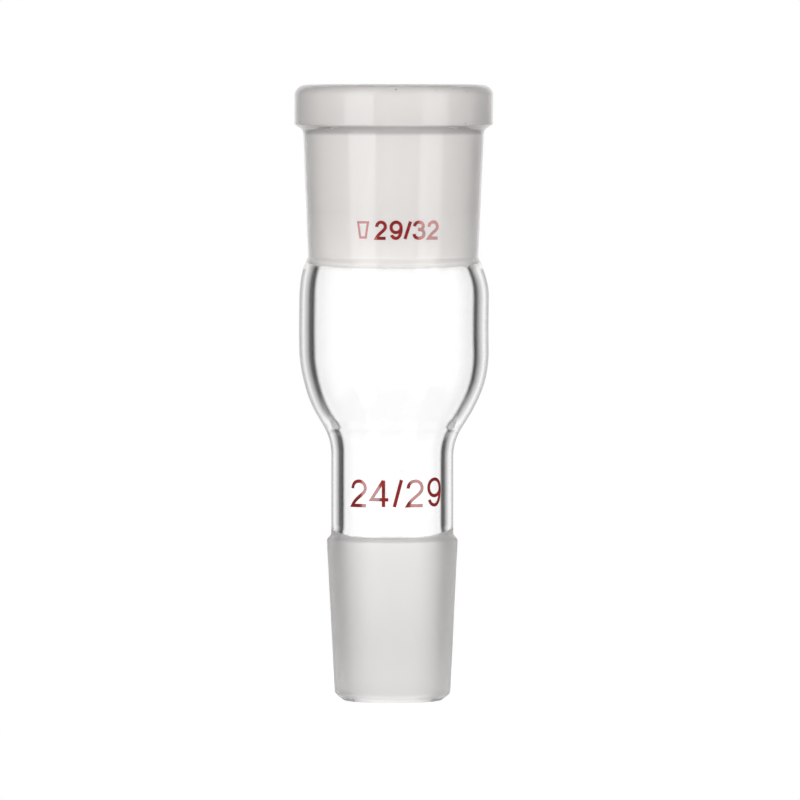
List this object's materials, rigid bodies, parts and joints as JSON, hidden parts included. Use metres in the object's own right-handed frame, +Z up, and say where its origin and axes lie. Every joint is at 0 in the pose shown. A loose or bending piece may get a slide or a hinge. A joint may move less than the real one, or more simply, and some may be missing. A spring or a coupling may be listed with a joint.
{
  "type": "ground glass expansion adapter",
  "caption": "Clear glass joint adapter: a wide tapered socket with a thick collar, a swollen bulb and a neck above a narrower ground cone.",
  "frame": {"origin": "centre of the ring at the tip of the cone, on which the adapter stands", "axes": "+Z up along the axis of the glass, from the cone's tip to the socket's mouth; the size marks face -Y"},
  "size_m": [0.0364, 0.0364, 0.1128],
  "materials": {
    "clear_glass": "clear, fire-polished",
    "ground_glass": "frosted, finely ground",
    "red_enamel": "fired-on enamel print"
  },
  "bodies": {
    "root": {"adapter_body": "clear_glass"}
  },
  "joints": []
}
